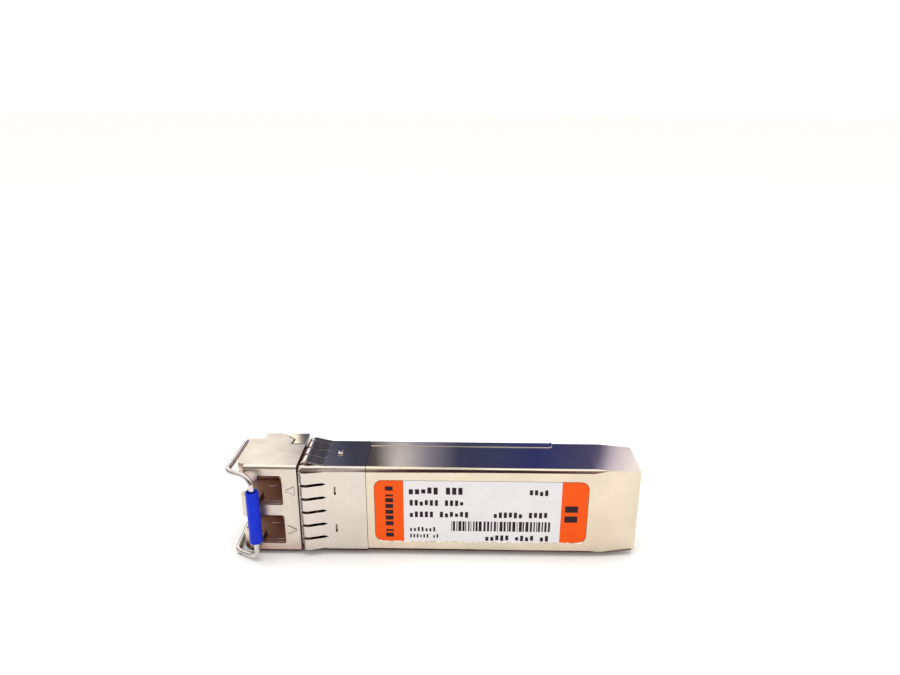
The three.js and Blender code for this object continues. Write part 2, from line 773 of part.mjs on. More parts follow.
// Square packages on the board: name, centre x and z, length, width, height, and which face they are on.
const PACKAGES = [
  ["laser_driver_chip", 9.2, 2.6, 4.0, 4.0, 0.9, "near", blackPackage],
  ["limiting_amplifier_chip", 9.0, -2.9, 3.0, 3.0, 0.8, "near", blackPackage],
  ["microcontroller_chip", 16.6, 0, 5.0, 5.0, 0.9, "near", blackPackage],
  ["memory_chip", 19.0, -2.0, 4.4, 3.0, 1.0, "far", blackPackage],
  ["transmit_power_inductor", 22.6, 2.8, 2.5, 2.0, 1.2, "near", () => finish(0x4a4a4c, 0.6, 0)],
  ["receive_power_inductor", 22.6, -2.8, 2.5, 2.0, 1.2, "near", () => finish(0x4a4a4c, 0.6, 0)],
  ["bulk_capacitor", 12.6, -4.0, 3.2, 1.6, 1.5, "near", () => finish(0xc98a2a, 0.5, 0)],
  ["board_thermal_pad", 9.2, 0, 6.0, 7.0, 1.3, "far", () => finish(0x7f8fa6, 0.9, 0)],
];

function addPackages() {
  for (const [name, x, z, length, width, height, face, material] of PACKAGES) {
    const y0 = face === "near" ? BOARD_NEAR - GAP - height : BOARD_FAR + GAP;
    const shape = box(x - length / 2, x + length / 2, y0, y0 + height, z - width / 2, z + width / 2);
    addPiece(name, shape, material());
  }
}

// ---- Assembly ----

addHousing();
addCover();
addLabel();
addCollar();
addRetainer();
addLever();
addLatchPin();
addLatchSpring();
addBail();
addBailSleeve();
ports.forEach(addOptics);
addFibreStub();
addOpticsClamp();
addBoard();
addPackages();

// The part's origin is under the middle of the module, on the surface it lies on.
const extent = new THREE.Box3().setFromObject(module);
const middle = extent.getCenter(new THREE.Vector3());
module.position.set(-middle.x, -middle.y, -extent.min.z);

export default module;
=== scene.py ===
"""Finished looks of the optical transceiver module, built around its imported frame.

Shapes are written in millimetres from the same places as the frame's own dimensions: x from the seam
between the spring collar and the cover, y from the label face towards the latch face, and z from the
middle plane.
"""

import math
import random

import bmesh
import bpy
from mathutils import Matrix, Vector


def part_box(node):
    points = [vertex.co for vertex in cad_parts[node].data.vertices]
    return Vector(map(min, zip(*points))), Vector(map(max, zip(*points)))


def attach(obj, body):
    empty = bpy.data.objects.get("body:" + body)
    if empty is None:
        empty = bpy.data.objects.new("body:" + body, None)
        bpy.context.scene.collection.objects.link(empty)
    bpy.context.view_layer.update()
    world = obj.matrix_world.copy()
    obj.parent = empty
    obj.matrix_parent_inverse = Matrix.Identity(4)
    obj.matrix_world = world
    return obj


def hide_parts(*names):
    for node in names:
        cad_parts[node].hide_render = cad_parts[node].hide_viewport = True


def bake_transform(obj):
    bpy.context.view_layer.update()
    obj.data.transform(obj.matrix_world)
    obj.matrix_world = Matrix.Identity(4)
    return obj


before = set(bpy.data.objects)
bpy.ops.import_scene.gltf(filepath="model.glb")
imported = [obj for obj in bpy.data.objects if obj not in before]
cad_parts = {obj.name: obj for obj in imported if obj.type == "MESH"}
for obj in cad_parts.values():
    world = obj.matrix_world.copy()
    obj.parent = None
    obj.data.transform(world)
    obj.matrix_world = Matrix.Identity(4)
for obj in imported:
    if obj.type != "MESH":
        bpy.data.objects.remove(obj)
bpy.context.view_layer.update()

# ---- Places and sizes ----

MM = 0.001
NOSE_FRONT = -18.0
COVER_HEIGHT = 8.5
COVER_TOP = 0.1
STOP = -9.5
NOSE_HALF = 6.85
NOSE_CORNER = 0.5
LIP_FRONT = -16.8
PORT_AXIS = 4.6
PORT_PITCH = 6.25
BAIL_PIVOT = (-14.8, 9.2)
LEVER_PIVOT = (-12.3, 9.0)
CROSSBAR = (-15.3, -1.75)
WIRE_RADIUS = 0.4
SLEEVE_RADIUS = 0.87
SLEEVE_HALF = 4.0
BOARD_NEAR = 5.25
BOARD_FAR = 6.25
BOARD_END = 34.8
LABEL_FACE = 0.08
LABEL_START = 1.16
LABEL_END = 30.85
LABEL_HALF = 4.85
BAND_FRONT = 5.2
BAND_REAR = 27.15
WELD = 1e-6

cover_low, cover_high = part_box("cover")
nose_low, nose_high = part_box("housing")
ORIGIN = Vector(
    (
        nose_low.x - NOSE_FRONT * MM,
        cover_high.y - COVER_HEIGHT * MM,
        (cover_low.z + cover_high.z) / 2,
    )
)
TO_FRAME = Matrix.Translation(ORIGIN) @ Matrix.Scale(MM, 4)


def at(x, y, z):
    return TO_FRAME @ Vector((x, y, z))


# ---- Finishes ----


SOCKETS = {
    "metallic": "Metallic",
    "specular": "Specular IOR Level",
    "coat": "Coat Weight",
    "coat_roughness": "Coat Roughness",
}


class Finish:
    """A material's node tree, with short calls for the nodes that the finishes share."""

    def __init__(self, name, **surface):
        self.material = bpy.data.materials.new(name)
        self.material.use_nodes = True
        self.tree = self.material.node_tree
        self.surface = self.tree.nodes["Principled BSDF"]
        for socket, value in surface.items():
            self.surface.inputs[SOCKETS[socket]].default_value = value
        coordinates = self.add("TexCoord").outputs["Object"]
        self.place = self.add(
            "Mapping",
            {"Vector": coordinates, "Location": -ORIGIN / MM, "Scale": (1 / MM, 1 / MM, 1 / MM)},
        ).outputs[0]

    def add(self, kind, inputs=None, **settings):
        made = self.tree.nodes.new("ShaderNode" + kind)
        for key, value in settings.items():
            setattr(made, key, value)
        for key, value in (inputs or {}).items():
            if isinstance(value, bpy.types.NodeSocket):
                self.tree.links.new(value, made.inputs[key])
            else:
                made.inputs[key].default_value = value
        return made

    def link(self, value, socket):
        self.tree.links.new(value, self.surface.inputs[socket])

    def math(self, operation, a, b=0.0):
        return self.add("Math", {0: a, 1: b}, operation=operation).outputs[0]

    def ramp(self, value, low, high, to_low=0.0, to_high=1.0):
        names = ("Value", "From Min", "From Max", "To Min", "To Max")
        return self.add("MapRange", dict(zip(names, (value, low, high, to_low, to_high)))).outputs[0]

    def mix(self, factor, a, b):
        made = self.add("Mix", {0: factor}, data_type="RGBA")
        for index, value in ((6, a), (7, b)):
            if isinstance(value, bpy.types.NodeSocket):
                self.tree.links.new(value, made.inputs[index])
            else:
                made.inputs[index].default_value = (*value, 1)
        return made.outputs[2]

    def stretched(self, scale, turn=(0, 0, 0), shift=(0, 0, 0)):
        inputs = {"Vector": self.place, "Scale": scale, "Rotation": turn, "Location": shift}
        return self.add("Mapping", inputs).outputs[0]

    def noise(self, scale, detail=3.0, roughness=0.5, place=None, distortion=0.0):
        inputs = {
            "Vector": place or self.place,
            "Scale": scale,
            "Detail": detail,
            "Roughness": roughness,
            "Distortion": distortion,
        }
        return self.add("TexNoise", inputs).outputs[0]

    def axis(self, name):
        return self.add("SeparateXYZ", {0: self.place}).outputs[name]

    def edges(self, radius, sharp=0.8):
        """1 along corners, falling to 0 on the flats within radius millimetres."""
        rounded = self.add("Bevel", {"Radius": radius * MM}, samples=4).outputs[0]
        normal = self.add("NewGeometry").outputs["Normal"]
        facing = self.add("VectorMath", {0: rounded, 1: normal}, operation="DOT_PRODUCT")
        return self.ramp(facing.outputs["Value"], 0.985, sharp)

    def crevice_shade(self, reach, low=0.35, high=0.85):
        """Mask for painted shade, from ambient occlusion: 1 in open places, falling to 0 in gaps and inner
        corners within reach millimetres.
        """
        open_sky = self.add("AmbientOcclusion", {"Distance": reach * MM}, samples=6).outputs["AO"]
        return self.ramp(open_sky, low, high)

    def scratches(self, length, fineness, turn, threshold=0.68):
        """Thin straight marks, longer than they are wide, lying along the turned x."""
        marks = self.noise(1.0, 2.0, 0.6, self.stretched((1 / length, fineness, fineness), turn))
        return self.ramp(marks, threshold, threshold + 0.05)

    def bump(self, *layers):
        """Each layer is a height from 0 to 1 and its depth in millimetres."""
        normal = None
        for height, depth in layers:
            inputs = {"Height": height, "Strength": 1.0, "Distance": depth * MM}
            if normal is not None:
                inputs["Normal"] = normal
            normal = self.add("Bump", inputs).outputs[0]
        self.link(normal, "Normal")


# Painted shade: the dark brown that metal is darkened towards in gaps, slots and inner corners.
CREVICE_SHADE = (0.07, 0.035, 0.03)
PORT_HOLLOW_SHADE = (0.8, 0.42, 0.37)  # painted shade: how much of the casting's colour is kept where the deep port hollows are darkened


def plated_metal(name, colour, worn, roughness, spread, grain, wave=0.004, stain=0.12, gap=0.5):
    """Nickel-plated metal: faint stains, fine handling marks, cast or rolled grain, bright worn corners, and
    painted shade in gaps and inner corners.
    """
    f = Finish(name, metallic=1.0)
    clouds = f.noise(0.22, 5.0, 0.6)
    specks = f.noise(2.6, 4.0, 0.65)
    fine = f.noise(grain, 3.0, 0.6)
    dull = tuple(c * (1 - stain) for c in colour)
    body = f.mix(f.ramp(clouds, 0.35, 0.7), colour, dull)
    darker = tuple(c * (1 - 2.2 * stain) for c in colour)
    body = f.mix(f.ramp(specks, 0.62, 0.78), body, darker)
    rub = f.edges(0.12)
    marks = f.math("MAXIMUM", f.scratches(6, 9, (0, 0, 0.5)), f.scratches(4, 11, (0.9, 0.3, -0.6), 0.7))
    body = f.mix(f.math("MULTIPLY", rub, 0.6), body, worn)
    # painted shade: the colour darkens in gaps and inner corners found by ambient occlusion
    f.link(f.mix(f.crevice_shade(gap), CREVICE_SHADE, body), "Base Color")
    rough = f.ramp(f.math("ADD", clouds, specks), 0.6, 1.4, roughness - spread, roughness + spread)
    rough = f.math("ADD", rough, f.math("MULTIPLY", marks, 0.08))
    f.link(f.math("SUBTRACT", rough, f.math("MULTIPLY", rub, roughness * 0.3)), "Roughness")
    f.bump((f.noise(0.35, 2.0), wave), (fine, 0.0016), (marks, 0.0006))
    return f.material


def cast_metal(name, colour, roughness, smooth):
    """Plated die casting: orange-peel skin, dark in its pores, finished smoother behind the collar, with
    painted shade in gaps and deep in the ports and a painted highlight along the nose's corners beside the
    label face.
    """
    f = Finish(name, metallic=1.0)
    clouds = f.noise(0.3, 5.0, 0.62)
    peel = f.noise(4.5, 3.0, 0.55)
    pores = f.noise(7.0, 2.0, 0.5)
    # Partly edge wear, partly painted highlight: besides the worn edges all round, the nose's long corners
    # beside the label face are painted brighter and made smoother.
    by_label = f.ramp(f.axis("Y"), 0.35, 0.6, 1.0, 0.0)
    corner = f.math("MULTIPLY", by_label, f.ramp(f.math("ABSOLUTE", f.axis("Z")), 6.25, 6.45))
    rub = f.math("MAXIMUM", f.edges(0.16), corner)
    dull = tuple(c * 0.84 for c in colour)
    bright = tuple(min(1.0, c * 1.16) for c in colour)
    body = f.mix(f.ramp(clouds, 0.35, 0.68), colour, dull)
    body = f.mix(f.ramp(pores, 0.66, 0.78), body, tuple(c * 0.55 for c in colour))
    body = f.mix(f.math("MULTIPLY", rub, 0.7), body, bright)
    # Painted shade: deep inside the ports the colour is darkened and browned, then darkened again in gaps and
    # inner corners.
    shaded = tuple(c * t for c, t in zip(colour, PORT_HOLLOW_SHADE))
    deep = f.mix(f.crevice_shade(5.0, 0.15, 0.75), shaded, body)
    f.link(f.mix(f.crevice_shade(0.6), CREVICE_SHADE, deep), "Base Color")
    cast = f.ramp(f.axis("X"), -1.0, 0.0, 1.0, 0.0)
    skin = f.ramp(cast, 0.0, 1.0, smooth, roughness)
    rough = f.math("ADD", skin, f.ramp(f.math("ADD", clouds, peel), 0.7, 1.3, -0.06, 0.07))
    f.link(f.math("SUBTRACT", rough, f.math("MULTIPLY", rub, 0.16)), "Roughness")
    peel = f.math("MULTIPLY", peel, f.ramp(cast, 0.0, 1.0, 0.3, 1.0))
    f.bump((f.noise(0.5, 2.0), 0.006), (peel, 0.0045), (pores, 0.0012))
    return f.material


def wire_metal(name, colour, roughness):
    """Drawn wire: die lines round it, rubbed patches where it is handled."""
    f = Finish(name, metallic=1.0)
    clouds = f.noise(0.6, 4.0, 0.6)
    lines = f.noise(14.0, 3.0, 0.7)
    dull = tuple(c * 0.78 for c in colour)
    f.link(f.mix(f.ramp(clouds, 0.4, 0.7), colour, dull), "Base Color")
    f.link(f.ramp(f.math("ADD", clouds, lines), 0.7, 1.3, roughness * 0.7, roughness * 1.5), "Roughness")
    f.bump((lines, 0.0012), (clouds, 0.004))
    return f.material


def moulded(name, colour, roughness, grain=5.0, depth=0.003, rub=0.35, **surface):
    """Moulded plastic, epoxy or ceramic: fine skin, uneven gloss and paler rubbed corners."""
    f = Finish(name, **surface)
    clouds = f.noise(0.5, 4.0, 0.6)
    skin = f.noise(grain, 3.0, 0.6)
    deep = tuple(c * 0.82 for c in colour)
    pale = tuple(c + (1 - c) * 0.22 for c in colour)
    body = f.mix(f.ramp(clouds, 0.35, 0.7), colour, deep)
    edge = f.edges(0.1)
    f.link(f.mix(f.math("MULTIPLY", edge, rub), body, pale), "Base Color")
    marks = f.scratches(3, 12, (0.4, 0.2, 1.1), 0.7)
    rough = f.ramp(f.math("ADD", clouds, skin), 0.7, 1.3, roughness - 0.06, roughness + 0.08)
    f.link(f.math("ADD", rough, f.math("MULTIPLY", marks, 0.12)), "Roughness")
    f.bump((skin, depth), (marks, 0.0008))
    return f.material


ORANGE = (0.78, 0.072, 0.0)
PAPER = (0.69, 0.67, 0.69)
INK = (0.012, 0.005, 0.009)


def label_film():
    """Printed film: white middle, orange ends, faint print screen, satin varnish."""
    f = Finish("printed_film", specular=0.15)
    along = f.axis("X")
    front = f.ramp(along, BAND_FRONT - 0.015, BAND_FRONT + 0.015, 1.0, 0.0)
    rear = f.ramp(along, BAND_REAR - 0.015, BAND_REAR + 0.015)
    band = f.math("MAXIMUM", front, rear)
    clouds = f.noise(0.35, 4.0, 0.6)
    fibre = f.noise(9.0, 3.0, 0.6)
    screen = f.add("TexVoronoi", {"Vector": f.place, "Scale": 7.0}).outputs["Distance"]
    white = f.mix(f.ramp(clouds, 0.35, 0.7), PAPER, tuple(c * 0.95 for c in PAPER))
    orange = f.mix(f.ramp(screen, 0.2, 0.6), ORANGE, (0.76, 0.082, 0.001))
    f.link(f.mix(band, white, orange), "Base Color")
    f.link(f.ramp(f.math("ADD", clouds, fibre), 0.7, 1.3, 0.34, 0.5), "Roughness")
    f.bump((clouds, 0.006), (fibre, 0.0012), (f.scratches(5, 10, (0, 0.7, 0)), 0.001))
    return f.material


def printing_ink():
    """Transferred ink: slightly broken edges, a little gloss."""
    f = Finish("printing_ink", specular=0.12)
    mottle = f.noise(6.0, 3.0, 0.6)
    f.link(f.mix(f.ramp(mottle, 0.4, 0.75), INK, (0.04, 0.022, 0.028)), "Base Color")
    f.link(f.ramp(mottle, 0.3, 0.7, 0.3, 0.5), "Roughness")
    f.bump((mottle, 0.001))
    return f.material


def solder_mask():
    """Green mask over copper runs, with bare laminate at the board's cut edges."""
    f = Finish("solder_mask", coat=0.5, coat_roughness=0.18)
    runs = f.add("TexBrick", {
        "Vector": f.stretched((1.0, 1.0, 1.0), (math.pi / 2, 0, 0)),
        "Scale": 1.0,
        "Mortar Size": 0.09,
        "Mortar Smooth": 0.25,
        "Brick Width": 3.4,
        "Row Height": 0.42,
    }, offset=0.37).outputs["Fac"]
    weave = f.noise(3.0, 3.0, 0.6)
    across = f.add("SeparateXYZ", {0: f.add("NewGeometry").outputs["True Normal"]}).outputs["Y"]
    cut_edge = f.ramp(f.math("ABSOLUTE", across), 0.6, 0.3)
    mask = f.mix(runs, (0.008, 0.085, 0.03), (0.014, 0.15, 0.05))
    mask = f.mix(f.ramp(weave, 0.5, 0.75), mask, (0.01, 0.1, 0.045))
    layers = f.add("TexWave", {"Vector": f.place, "Scale": 1.6, "Distortion": 1.0}, bands_direction="Y")
    laminate = f.mix(layers.outputs["Fac"], (0.33, 0.3, 0.14), (0.2, 0.19, 0.1))
    f.link(f.mix(cut_edge, mask, laminate), "Base Color")
    f.link(f.ramp(weave, 0.3, 0.7, 0.3, 0.45), "Roughness")
    f.bump((runs, 0.012), (weave, 0.003))
    return f.material


def striped(name, base, stripe, pitch, share, roughness):
    """Film over parallel copper runs along x, seen as bands across z."""
    f = Finish(name, coat=0.4, coat_roughness=0.2)
    across = f.math("FRACT", f.math("DIVIDE", f.axis("Z"), pitch))
    off_middle = f.math("ABSOLUTE", f.math("SUBTRACT", across, 0.5))
    run = f.ramp(off_middle, share / 2, share / 2 + 0.06, 1.0, 0.0)
    clouds = f.noise(1.2, 3.0)
    f.link(f.mix(run, base, f.mix(clouds, stripe, tuple(c * 0.7 for c in stripe))), "Base Color")
    f.link(f.ramp(clouds, 0.3, 0.7, roughness - 0.08, roughness + 0.08), "Roughness")
    f.bump((run, 0.01), (clouds, 0.004))
    return f.material


CASTING = cast_metal("nickel_casting", (0.68, 0.61, 0.53), 0.33, 0.2)
COVER = plated_metal("cover_sheet", (0.7, 0.61, 0.475), (0.86, 0.82, 0.74), 0.13, 0.04, 7.0)
SPRING = plated_metal(
    "spring_sheet", (0.65, 0.585, 0.52), (0.9, 0.86, 0.8), 0.13, 0.04, 8.0, wave=0.003, stain=0.1, gap=0.22
)
WIRE = wire_metal("drawn_wire", (0.66, 0.62, 0.59), 0.17)
SLEEVE = moulded("blue_sleeve", (0.003, 0.024, 0.56), 0.46, 4.0, 0.004, 0.1, specular=0.14)
FILM = label_film()
INKED = printing_ink()
GOLD = plated_metal("gold_plate", (0.83, 0.58, 0.22), (0.95, 0.75, 0.4), 0.24, 0.06, 9.0)
SOLDER = plated_metal("solder", (0.7, 0.7, 0.7), (0.85, 0.85, 0.85), 0.28, 0.08, 6.0)
MASK = solder_mask()
EPOXY = moulded("black_epoxy", (0.016, 0.016, 0.018), 0.5, 9.0, 0.004, 0.3)
FERRITE = moulded("grey_ferrite", (0.09, 0.09, 0.095), 0.6, 7.0, 0.008, 0.3)
TANTALUM = moulded("ochre_moulding", (0.52, 0.26, 0.045), 0.45, 6.0, 0.004, 0.3)
CERAMIC = moulded("white_ceramic", (0.86, 0.83, 0.75), 0.2, 8.0, 0.001, 0.1, coat=0.4)
PAD = moulded("soft_thermal_pad", (0.2, 0.27, 0.38), 0.8, 3.0, 0.02, 0.2)
POLYIMIDE = striped("amber_flex", (0.36, 0.13, 0.015), (0.75, 0.36, 0.12), 0.62, 0.55, 0.35)
DARK_PLASTIC = moulded("clamp_plastic", (0.025, 0.027, 0.03), 0.5, 5.0, 0.004)
GLUE = moulded("film_adhesive", (0.88, 0.86, 0.8), 0.25, 4.0, 0.006, 0.2)

# ---- Mesh helpers ----


def make(bm, name, materials, body="module", stands_for=(), crease=35):
    """Turns a mesh in millimetres into a piece in the frame."""
    bmesh.ops.remove_doubles(bm, verts=bm.verts, dist=1e-5)
    bmesh.ops.recalc_face_normals(bm, faces=bm.faces)
    mesh = bpy.data.meshes.new(name)
    bm.to_mesh(mesh)
    bm.free()
    mesh.transform(TO_FRAME)
    return show(mesh, name, materials, body, stands_for, crease)


def show(mesh, name, materials, body="module", stands_for=(), crease=35):
    mesh.materials.clear()
    for material in materials if isinstance(materials, (list, tuple)) else [materials]:
        mesh.materials.append(material)
    mesh.shade_smooth()
    mesh.set_sharp_from_angle(angle=math.radians(crease))
    piece = bpy.data.objects.new(name, mesh)
    bpy.context.scene.collection.objects.link(piece)
    if body:
        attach(piece, body)
    if stands_for:
        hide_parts(*stands_for)
    return piece


def carved(mesh, cutters):
    """The mesh with each tool's solid taken away. It uses the tools up."""
    block_out = bpy.data.objects.new("carving", mesh)
    bpy.context.scene.collection.objects.link(block_out)
    for cutter in cutters:
        cut = block_out.modifiers.new("cut", "BOOLEAN")
        cut.operation = "DIFFERENCE"
        cut.solver = "EXACT"
        cut.object = cutter
    bpy.context.view_layer.update()
    result = bpy.data.meshes.new_from_object(block_out.evaluated_get(bpy.context.evaluated_depsgraph_get()))
    for used in (block_out, *cutters):
        bpy.data.objects.remove(used)
    return result


def dressed(node, name, material, width, body="module", cutters=(), crease=30):
    """The frame's own shape with its corners rounded over and any finer cuts made in it."""
    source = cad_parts[node].data
    if cutters:
        source = carved(source.copy(), cutters)
    bm = bmesh.new()
    bm.from_mesh(source)
    bmesh.ops.remove_doubles(bm, verts=bm.verts, dist=WELD)
    bmesh.ops.dissolve_degenerate(bm, dist=WELD, edges=bm.edges)
    flat = math.radians(0.4)
    bmesh.ops.dissolve_limit(bm, angle_limit=flat, verts=bm.verts, edges=bm.edges)
    mesh = bpy.data.meshes.new(name)
    bm.to_mesh(mesh)
    bm.free()
    piece = show(mesh, name, material, body, (node,), crease)
    rounding = piece.modifiers.new("rounding", "BEVEL")
    rounding.width = width * MM
    rounding.segments = 2
    rounding.limit_method = "ANGLE"
    rounding.angle_limit = math.radians(crease)
    rounding.miter_outer = "MITER_ARC"
    level = piece.modifiers.new("level", "WEIGHTED_NORMAL")
    level.keep_sharp = True
    level.weight = 90
    return piece


def tool(bm, name):
    """A solid for cutting, which isn't a piece."""
    bmesh.ops.recalc_face_normals(bm, faces=bm.faces)
    mesh = bpy.data.meshes.new(name)
    bm.to_mesh(mesh)
    bm.free()
    mesh.transform(TO_FRAME)
    made = bpy.data.objects.new(name, mesh)
    bpy.context.scene.collection.objects.link(made)
    made.hide_render = True
    return made


def block(bm, low, high, radius=0.0, steps=2, slot=0):
    """A box between two corners with its edges rounded."""
    verts = bmesh.ops.create_cube(bm, size=1.0)["verts"]
    middle = [(a + b) / 2 for a, b in zip(low, high)]
    size = [b - a for a, b in zip(low, high)]
    for v in verts:
        v.co = Vector([m + c * s for m, c, s in zip(middle, v.co, size)])
    faces = {face for v in verts for face in v.link_faces}
    if radius:
        edges = list({edge for v in verts for edge in v.link_edges})
        rounded = bmesh.ops.bevel(
            bm, geom=edges, offset=radius, segments=steps, profile=0.5, affect="EDGES", clamp_overlap=True
        )
        faces = {face for face in faces if face.is_valid} | set(rounded["faces"])
    for face in faces:
        face.material_index = slot


def loft(bm, rings, closed=False, ring_closed=True, caps=True, slot=0):
    """Joins rings of points, one after another, into a skin."""
    rows = [[bm.verts.new(p) for p in ring] for ring in rings]
    count = len(rows[0])
    pairs = list(zip(rows, rows[1:])) + ([(rows[-1], rows[0])] if closed else [])
    for a, b in pairs:
        for i in range(count if ring_closed else count - 1):
            j = (i + 1) % count
            bm.faces.new((a[i], a[j], b[j], b[i])).material_index = slot
    if caps and not closed:
        bm.faces.new(rows[0]).material_index = slot
        bm.faces.new(rows[-1]).material_index = slot


def revolved(bm, profile, place, sides, slot):
    """A closed profile of (along, radius) turned about an axis. place(along, a, b) is a point of it."""
    angles = [2 * math.pi * i / sides for i in range(sides)]
    rings = []
    for along, radius in profile:
        r = max(radius, 1e-4)
        rings.append([Vector(place(along, r * math.cos(t), r * math.sin(t))) for t in angles])
    loft(bm, rings, closed=True, slot=slot)


def turned(bm, profile, centre, sides=48, slot=0):
    """Turned about an axis along x through centre (y, z)."""
    revolved(bm, profile, lambda x, a, b: (x, centre[0] + a, centre[1] + b), sides, slot)


def turned_y(bm, profile, centre, sides=20, slot=0):
    """Turned about an axis along y through centre (x, z)."""
    revolved(bm, profile, lambda y, a, b: (centre[0] + a, y, centre[1] + b), sides, slot)


def turned_z(bm, profile, centre, sides=48, slot=0):
    """Turned about an axis along z through centre (x, y)."""
    revolved(bm, profile, lambda z, a, b: (centre[0] + a, centre[1] + b, z), sides, slot)


def arc(centre, radius, start, stop, steps):
    """Points of a profile's rounded corner."""
    turns = [math.radians(start + (stop - start) * i / steps) for i in range(steps + 1)]
    return [(centre[0] + radius * math.cos(t), centre[1] + radius * math.sin(t)) for t in turns]


def bent_path(points, radius, steps=10):
    """The points of a path with each inner corner rounded."""
    path = [points[0]]
    for before, corner, after in zip(points, points[1:], points[2:]):
        back, ahead = before - corner, after - corner
        reach = min(radius, back.length * 0.48, ahead.length * 0.48)
        enter = corner + back.normalized() * reach
        leave = corner + ahead.normalized() * reach
        for i in range(steps + 1):
            t = i / steps
            path.append(enter * (1 - t) ** 2 + corner * 2 * t * (1 - t) + leave * t * t)
    path.append(points[-1])
    return path


def rounded_end(station, end, inward, steps=4):
    """Stations that round over a bar's end, from the tip inwards."""
    point, tangent, across, radius = station
    made = []
    for k in range(steps + 1):
        turn = math.radians(90 * k / steps)
        inset = inward * end * (1 - math.cos(turn))
        made.append((point + tangent * inset, tangent, across, radius - end + end * math.sin(turn)))
    return made


def tube(bm, path, radius, sides=24, end=0.12):
    """A round bar along a path, with its two ends rounded over."""
    tangents = []
    for i in range(len(path)):
        ahead = path[min(i + 1, len(path) - 1)] - path[max(i - 1, 0)]
        tangents.append(ahead.normalized())
    side = tangents[0].orthogonal().normalized()
    stations = []
    for i, (point, tangent) in enumerate(zip(path, tangents)):
        side = (side - tangent * side.dot(tangent)).normalized()
        stations.append((point, tangent, side.copy(), radius))
    order = rounded_end(stations[0], end, 1) + stations[1:-1] + rounded_end(stations[-1], end, -1)[::-1]
    rings = []
    for point, tangent, across, r in order:
        up = tangent.cross(across)
        angles = [2 * math.pi * i / sides for i in range(sides)]
        rings.append([point + across * r * math.cos(a) + up * r * math.sin(a) for a in angles])
    loft(bm, rings)


def rounded_outline(low, high, radius, steps=8):
    """Corner-rounded rectangle as a list of (a, b)."""
    (a0, b0), (a1, b1) = low, high
    return (
        arc((a1 - radius, b1 - radius), radius, 0, 90, steps)
        + arc((a0 + radius, b1 - radius), radius, 90, 180, steps)
        + arc((a0 + radius, b0 + radius), radius, 180, 270, steps)
        + arc((a1 - radius, b0 + radius), radius, 270, 360, steps)
    )


def slab_y(bm, outline, y0, y1, slot=0):
    """An outline in (x, z), thick from y0 to y1."""
    loft(bm, [[Vector((a, y, b)) for a, b in outline] for y in (y0, y1)], slot=slot)


# ---- Casting and cover ----


def nose_edges():
    """What the rounded corners beside the nose's label face take away."""
    bm = bmesh.new()
    for side in (-1, 1):
        inner = NOSE_HALF - NOSE_CORNER
        outline = [(-0.2, NOSE_HALF + 0.2), (-0.2, inner)]
        outline += [(NOSE_CORNER - b, inner + a) for a, b in arc((0, 0), NOSE_CORNER, 90, 0, 10)]
        outline += [(NOSE_CORNER, NOSE_HALF + 0.2)]
        ends = (LIP_FRONT - 0.5, STOP + 0.5)
        loft(bm, [[Vector((x, y, side * z)) for y, z in outline] for x in ends])
    return bm


def arrow_grooves():
    """A fine groove under the lower edge of each arrow beside the ports."""
    bm = bmesh.new()
    front, rear, half, width = STOP - 1.7, STOP - 0.45, 0.65, 0.15
    for z, tip, blunt in ((PORT_PITCH / 2, front, rear), (-PORT_PITCH / 2, rear, front)):
        top = [(tip, z), (blunt, z - half)]
        slab_y(bm, top + [(x, low - width) for x, low in reversed(top)], -0.3, 0.16)
    return bm


def ear_gap():
    """The dark joint round the retainer plate's ear, on each narrow side."""
    bm = bmesh.new()
    gap, rear, below = 0.26, STOP - 0.1, 11.0
    ear_top, ear_front, notch_front = 6.95, -12.6, -11.45
    outline = [
        (rear, ear_top - gap),
        (notch_front - gap, ear_top - gap),
        (-11.3 - gap, 8.2),
        (ear_front - gap, 9.45),
        (ear_front - gap, below),
        (rear, below),
    ]
    floor, outside = 6.57, 8.0
    for side in (-1, 1):
        loft(bm, [[Vector((x, y, side * z)) for x, y in outline] for z in (floor, outside)])
    return bm


def add_casting():
    panel = bmesh.new()
    slab_y(panel, rounded_outline((2.2, -4.9), (23.6, 4.9), 0.7), COVER_HEIGHT - 0.12, COVER_HEIGHT + 1)
    marks = bmesh.new()
    for x in (4.6, 21.2):
        for z in (-3.1, 3.1):
            outline = arc((x, z), 0.95, 0, 360, 28)[:-1]
            slab_y(marks, outline, COVER_HEIGHT - 0.2, COVER_HEIGHT + 1)
    tools = {
        "panel_tool": panel,
        "mark_tool": marks,
        "edge_tool": nose_edges(),
        "groove_tool": arrow_grooves(),
        "ear_tool": ear_gap(),
    }
    cutters = [tool(bm, name) for name, bm in tools.items()]
    dressed("housing", "nose_and_tub_casting", CASTING, 0.07, cutters=cutters)


add_casting()
dressed("cover", "folded_cover", COVER, 0.05)
dressed("emi_collar", "spring_collar", SPRING, 0.04)
dressed("latch_retainer", "latch_retainer_plate", COVER, 0.05)
dressed("latch_lever", "latch_rocker", CASTING, 0.07, body="latch")
dressed("optics_clamp", "optics_clamp_plate", DARK_PLASTIC, 0.05)


def add_collar_lugs():
    """Cast studs that stand in the collar's side holes and hold it: round, with one flat side."""
    bm = bmesh.new()
    for side in (-1, 1):
        rings = []
        for height, radius in ((6.5, 0.5), (6.82, 0.5), (6.94, 0.45), (7.01, 0.34), (7.05, 0.18)):
            outline = arc((0, 0), radius, -125, 125, 20)
            rings.append([Vector((-4.05 + a, 4.45 + 1.5 * b, side * height)) for a, b in outline])
        loft(bm, rings)
    make(bm, "collar_lugs", SPRING, crease=60)


add_collar_lugs()


